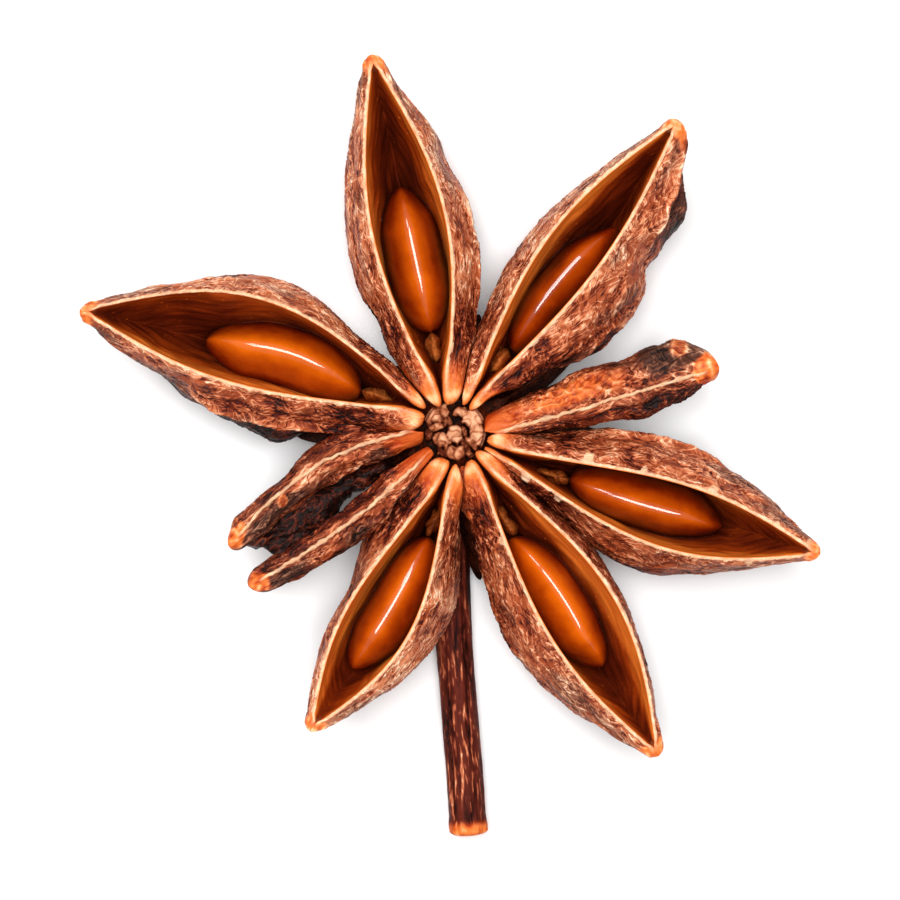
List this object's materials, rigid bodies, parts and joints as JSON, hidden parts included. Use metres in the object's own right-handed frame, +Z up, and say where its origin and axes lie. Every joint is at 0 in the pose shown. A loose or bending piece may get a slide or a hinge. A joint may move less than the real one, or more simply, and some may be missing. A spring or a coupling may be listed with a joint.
{
  "type": "star anise pod",
  "caption": "Dried star anise pod: boat-shaped carpels round a short hub, some split open with a glossy seed in each, some shut, on a thin woody stalk, lying open side up",
  "frame": {"origin": "on the table under the middle of the pod's box; the hub stands a little to one side of it", "axes": "+Z is up, out of the open side of the star; the stalk lies along -Y and slightly towards +X"},
  "size_m": [0.0364, 0.039, 0.0072],
  "materials": {
    "husk": "dry wrinkled bark-like skin outside, smoother and slightly glossy inside, pale torn edges",
    "seed": "polished orange-brown seed coat"
  },
  "bodies": {
    "root": {"husk": "husk", "seed_a": "seed", "seed_b": "seed", "seed_c": "seed", "seed_d": "seed", "seed_e": "seed", "seed_f": "seed"}
  },
  "joints": []
}
